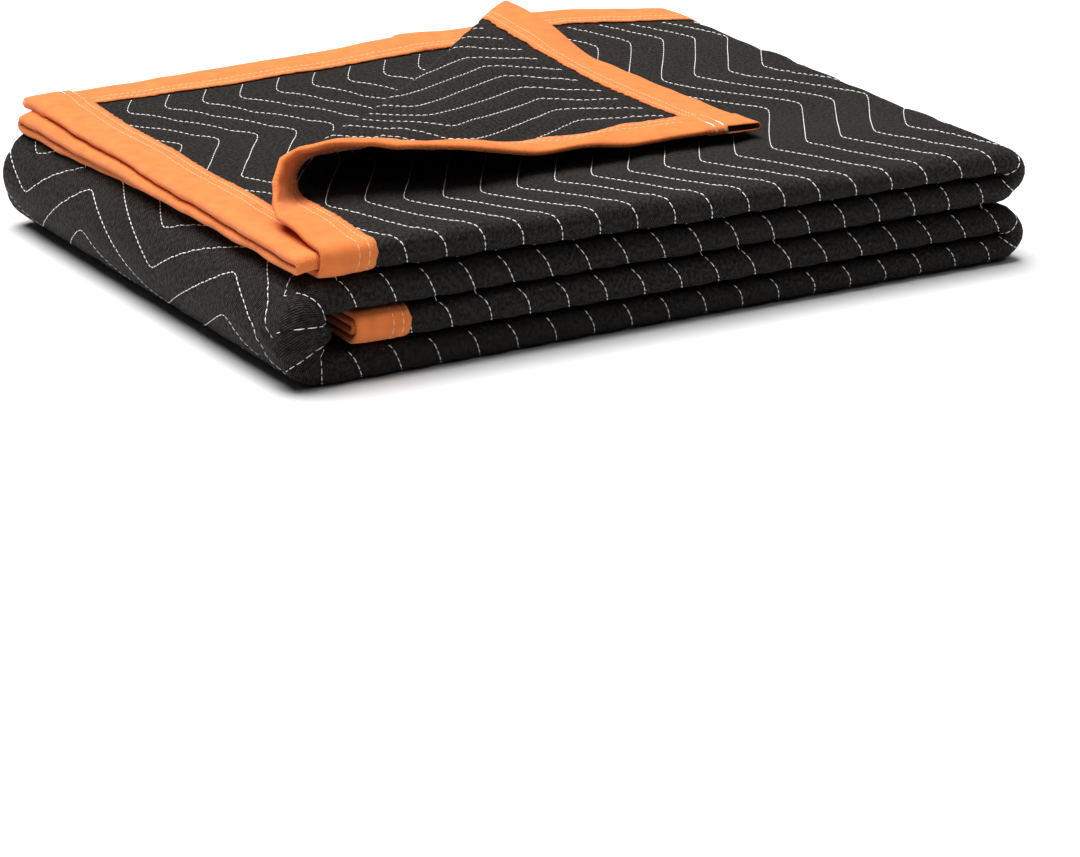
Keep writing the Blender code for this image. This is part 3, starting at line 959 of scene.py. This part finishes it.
def surface_at(tree, u, v, side):
    """Place and outward direction of the cloth's or tape's own face over a place of the flat sheet."""
    above = sheet_point(u, v, side * (CLOTH / 2 + RAY_START))
    below = sheet_point(u, v, side * CLOTH / 4)
    direction = (below - above).normalized()
    place = tree.ray_cast(above, direction, RAY_LENGTH)[0]
    return None if place is None else (place, -direction)


def stitch_line(stitcher, tree, line, start, end, side, look):
    """Stitches along a line of the flat sheet, given as a function from a place along it to (u, v)."""
    length = 0.0
    marks = []
    last = line(start)
    for number in range(1, int((end - start) / MARK_STEP)):
        here = line(start + number * MARK_STEP)
        length += math.hypot(here[0] - last[0], here[1] - last[1])
        last = here
        marks.append((length, start + number * MARK_STEP))
    next_start = 0.0
    index = 0
    while next_start + look.stitch_length < length:
        found = []
        for step in STITCH_STEPS:
            target = next_start + step * look.stitch_length
            while index < len(marks) - 1 and marks[index][0] < target:
                index += 1
            hit = surface_at(tree, *line(marks[index][1]), side)
            if hit:
                found.append(hit)
        whole = len(found) == len(STITCH_STEPS)
        if whole and (found[0][0] - found[-1][0]).length < LONGEST_STITCH * look.stitch_length:
            stitcher.lay(*zip(*found))
        next_start += look.stitch_pitch


def line_number(u):
    """The number of the quilting line that runs at or just left of a place along U."""
    return int(outer_length(u) / LINE_PITCH - FIRST_LINE)


def quilting_spans():
    """Where quilting shows: (first line, last line, start of V, end of V, side of the cloth)."""
    first_line, last_line = 1, line_number(SHEET_U)
    end_of_turn = line_number(LOBE_2_START) + 1
    left_fold = (line_number(LEFT_FOLD_START) - 1, line_number(LOBE_4_START) + 2)
    right_fold = (line_number(LOWER_TURN_START) - 1, line_number(LOBE_3_START) + 1)
    crease = (OUTER_CREASE_START - CREASE_MARGIN, TOP_LAYER_START + CREASE_MARGIN)
    under_stop = OUTER_CREASE_START - UNDER_LINES_MARGIN
    return (
        (first_line, end_of_turn, OUTER_CREASE_START + TOP_LINES_MARGIN, SHEET_V - BAND_WIDTH, 1),
        (first_line, end_of_turn, TOP_LAYER_START + FLAP_LINES_MARGIN, SHEET_V - BAND_WIDTH, -1),
        (0, line_number(INNER_LINES_END), BAND_WIDTH, INNER_CREASE_START - INNER_LINES_STOP, -1),
        (end_of_turn + 1, last_line, *crease, 1),
        (*left_fold, BACK_CREASE_START, crease[0], 1),
        (left_fold[1] + 1, right_fold[0] - 1, UNDER_LAYER_START, under_stop, 1),
        (*right_fold, BACK_CREASE_START, under_stop, 1),
    )


def past_roll(u, v):
    """How far a place of the top layer lies past the middle of the turned corner's roll."""
    return flap_place(u, v - TOP_LAYER_START + FRONT_LINE)[1] - PAST_ROLL


def shown_span(line, start, end, side):
    """The stretch of a quilting line that shows: clear of the tape, and on the flap past its roll."""
    if side < 0 and start > TOP_LAYER_START:
        past = [place for place in spaced(start, end, FLAP_SPAN_STEP) if past_roll(*line(place)) > 0]
        if not past:
            return None
        start, end = past[0], past[-1]
    inside = [place for place in spaced(start, end, SPAN_STEP) if edge_distance(*line(place)) > BAND_WIDTH]
    return (inside[0], inside[-1]) if inside else None


def make_quilting_thread(look, cloth, material):
    stitcher = Stitcher("quilting_thread", look.thread_thickness)
    tree = faces_of(cloth)
    for first, last, start, end, side in quilting_spans():
        for number in range(first, last + 1):
            def line(place, number=number):
                return line_place(number, place), place

            span = shown_span(line, start, end, side)
            if span and span[1] - span[0] > look.stitch_pitch:
                stitch_line(stitcher, tree, line, *span, side, look)
    return stitcher.finish(material)


def bar_tack(stitcher, tree, u, v, step_u, step_v):
    """A thick thread that runs off a row's end and round the edge of the tape to its other face."""
    found = []
    for side, inward in TACK_PLACES:
        hit = surface_at(tree, u + inward * step_u, v + inward * step_v, side)
        if hit is None:
            raise RuntimeError("a bar tack misses the tape")
        found.append(hit)
    reach = BAND_REACH + TAPE_OVERLAP + TACK_STAND_OFF
    outermost = sheet_point(u - reach * step_u, v - reach * step_v, 0.0)
    found.insert(len(found) // 2, (outermost, (found[1][0] - found[0][0]).normalized()))
    stitcher.lay(*zip(*found))


def make_tape_thread(look, tape, row_material, tack_material):
    stitcher = Stitcher("tape_thread", look.tape_thread)
    tacks = Stitcher("bar_tacks", look.tape_thread * 2)
    tree = faces_of(tape)
    round_crease = (OUTER_CREASE_START - ROW_PAST_CREASE, TOP_LAYER_START + ROW_PAST_CREASE)
    for row in TAPE_ROWS:
        bar_tack(tacks, tree, 0.0, SHEET_V - row, 1, 0)
        bar_tack(tacks, tree, row, 0.0, 0, 1)
        lines = (
            (lambda place: (row, place), SIDE_ROW_START, SHEET_V - BAND_WIDTH),
            (lambda place: (place, SHEET_V - row), FREE_ROW_START, LOBE_2_START),
            (lambda place: (place, row), BAND_WIDTH + BACK_ROW_MARGIN, BACK_ROW_END),
            (lambda place: (SHEET_U - row, place), *round_crease),
        )
        for line, start, end in lines:
            for side in (1, -1):
                stitch_line(stitcher, tree, line, start, end, side, look)
    return stitcher.finish(row_material), tacks.finish(tack_material)


def make_stage(look):
    mesh = bpy.data.meshes.new("floor")
    bm = bmesh.new()
    bmesh.ops.create_grid(bm, x_segments=8, y_segments=8, size=FLOOR_SIZE)
    bm.to_mesh(mesh)
    bm.free()
    mesh.materials.append(floor_shade(look))
    floor = bpy.data.objects.new("floor", mesh)
    bpy.context.collection.objects.link(floor)
    world = bpy.data.worlds.new("studio")
    world.use_nodes = True
    world.node_tree.nodes["Background"].inputs["Color"].default_value = (1.0, 1.0, 1.0, 1.0)
    world.node_tree.nodes["Background"].inputs["Strength"].default_value = look.fill_light
    bpy.context.scene.world = world
    for name, toward, width, strength in SUNS:
        data = bpy.data.lights.new(name, "SUN")
        data.angle = math.radians(width)
        data.energy = strength * look.key_light
        lamp = bpy.data.objects.new(name, data)
        lamp.rotation_euler = Vector(toward).to_track_quat("Z", "Y").to_euler()
        bpy.context.collection.objects.link(lamp)
    bpy.context.scene.view_settings.view_transform = "Standard"
    bpy.context.scene.view_settings.look = "Medium High Contrast"


def make_camera():
    """The photograph's camera; back points from the pad to it."""
    level = math.cos(CAMERA_PITCH)
    back = Vector((math.sin(CAMERA_YAW) * level, -math.cos(CAMERA_YAW) * level, math.sin(CAMERA_PITCH)))
    right = Vector((math.cos(CAMERA_YAW), math.sin(CAMERA_YAW), 0.0))
    turn = Matrix((right, back.cross(right), back)).transposed()
    data = bpy.data.cameras.new("camera")
    data.lens = LENS
    data.sensor_width = 36.0
    data.clip_end = 50.0
    camera = bpy.data.objects.new("camera", data)
    camera.matrix_world = Matrix.Translation(CAMERA_PLACE) @ turn.to_4x4()
    bpy.context.collection.objects.link(camera)
    bpy.context.scene.camera = camera


# ---- what a user may change --------------------------------------------------------------------------
def length_of(name, description, default):
    return bpy.props.FloatProperty(
        name=name, description=description, default=default, precision=5, unit="LENGTH")


def strength_of(name, description, default):
    return bpy.props.FloatProperty(name=name, description=description, default=default)


def colour_of(name, description, default):
    return bpy.props.FloatVectorProperty(
        name=name, description=description, default=default, size=3, min=0.0, max=1.0, subtype="COLOR")


class PadLook(bpy.types.PropertyGroup):
    quilting_depth: length_of("Quilting depth", "How deep the quilting draws the cloth in", 0.0012)
    weave_pitch: length_of("Weave pitch", "Distance between ribs of the twill", 0.0015)
    weave_height: length_of("Weave height", "Height of the twill's ribs", 0.00040)
    stitch_length: length_of("Stitch length", "Length of a stitch that shows", 0.0032)
    stitch_pitch: length_of("Stitch pitch", "Distance from one stitch to the next", 0.0042)
    thread_thickness: length_of("Thread thickness", "Diameter of the quilting thread", 0.00076)
    tape_thread: length_of("Tape thread thickness", "Diameter of the tape's thread", 0.00055)
    cloth_colour: colour_of("Cloth", "Colour of the twill", (0.0170, 0.0145, 0.0130))
    tape_colour: colour_of("Tape", "Colour of the edge tape", (0.78, 0.222, 0.048))
    thread_colour: colour_of("Thread", "Colour of the quilting thread", (0.97, 0.96, 0.93))
    tape_thread_colour: colour_of("Tape thread", "Colour of the tape's thread", (0.90, 0.68, 0.48))
    floor_colour: colour_of("Floor", "Colour of the floor", (0.70, 0.70, 0.70))
    fill_light: strength_of("Fill light", "Strength of the even light", 0.055)
    key_light: strength_of("Key light", "Strength of the top lamp", 5.0)


class PAD_OT_cloth(bpy.types.Operator):
    """Makes the quilted cloth in its folds"""

    bl_idname = "pad.cloth"
    bl_label = "Quilted cloth"

    def execute(self, context):
        look = context.scene.pad_look
        cloth = make_cloth(look)
        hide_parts("quilted_body")
        return {"FINISHED"}


class PAD_OT_tape(bpy.types.Operator):
    """Makes the tape that binds the edge of the cloth"""

    bl_idname = "pad.tape"
    bl_label = "Edge tape"

    def execute(self, context):
        tape = make_tape(context.scene.pad_look)
        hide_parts("binding")
        return {"FINISHED"}


class PAD_OT_thread(bpy.types.Operator):
    """Sews the quilting lines, and the tape's two rows with their bar tacks"""

    bl_idname = "pad.thread"
    bl_label = "Thread"

    def execute(self, context):
        look = context.scene.pad_look
        cloth, tape = bpy.data.objects["quilted_cloth"], bpy.data.objects["edge_tape"]
        white = thread_shade("white_thread", look.thread_colour)
        quilting = make_quilting_thread(look, cloth, white)
        rows = make_tape_thread(look, tape, thread_shade("cream_thread", look.tape_thread_colour), white)
        return {"FINISHED"}


class PAD_OT_stage(bpy.types.Operator):
    """Sets the floor, the light and the camera"""

    bl_idname = "pad.stage"
    bl_label = "Floor, light and camera"

    def execute(self, context):
        make_stage(context.scene.pad_look)
        make_camera()
        return {"FINISHED"}


class PAD_PT_panel(bpy.types.Panel):
    bl_label = "Moving pad"
    bl_idname = "PAD_PT_panel"
    bl_space_type = "VIEW_3D"
    bl_region_type = "UI"
    bl_category = "Pad"

    def draw(self, context):
        look = context.scene.pad_look
        for name in PadLook.__annotations__:
            self.layout.prop(look, name)
        for operator in (PAD_OT_stage, PAD_OT_cloth, PAD_OT_tape, PAD_OT_thread):
            self.layout.operator(operator.bl_idname)


CLASSES = (PadLook, PAD_OT_cloth, PAD_OT_tape, PAD_OT_thread, PAD_OT_stage, PAD_PT_panel)


def register():
    for owner in CLASSES:
        bpy.utils.register_class(owner)
    bpy.types.Scene.pad_look = bpy.props.PointerProperty(type=PadLook)


def unregister():
    del bpy.types.Scene.pad_look
    for owner in reversed(CLASSES):
        bpy.utils.unregister_class(owner)


def main():
    register()
    # without a seed, Blender takes the lumps' noise from the clock, and each run gives other lumps
    noise.seed_set(LUMP_SEED)
    bpy.ops.pad.stage()
    bpy.ops.pad.cloth()
    bpy.ops.pad.tape()
    bpy.ops.pad.thread()


if __name__ == "__main__":
    main()
